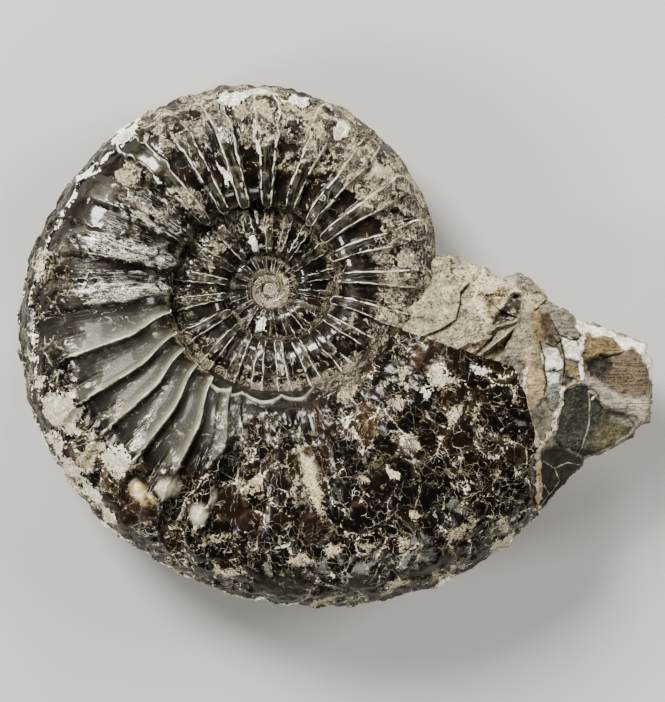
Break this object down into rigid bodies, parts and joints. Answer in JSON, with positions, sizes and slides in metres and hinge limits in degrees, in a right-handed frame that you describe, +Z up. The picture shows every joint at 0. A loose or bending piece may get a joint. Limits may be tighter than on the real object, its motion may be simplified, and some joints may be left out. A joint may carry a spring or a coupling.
{
  "type": "fossil ammonite",
  "caption": "Fossil ammonite: a ribbed shell coiled in one plane, filled with dark calcite, with mudstone and broken chambers at its mouth. It lies on its side.",
  "frame": {"origin": "centre of the bounding box, at its bottom, on the plane the worn underside rests on", "axes": "+X towards the broken mouth (the longest extent), +Y across the coil, +Z up out of the flank that is seen"},
  "size_m": [0.0882, 0.073, 0.0276],
  "materials": {
    "dark_calcite": "satin",
    "mudstone": "matte",
    "pale_calcite": "matte"
  },
  "bodies": {
    "root": {"ammonite": "dark_calcite"}
  },
  "joints": []
}
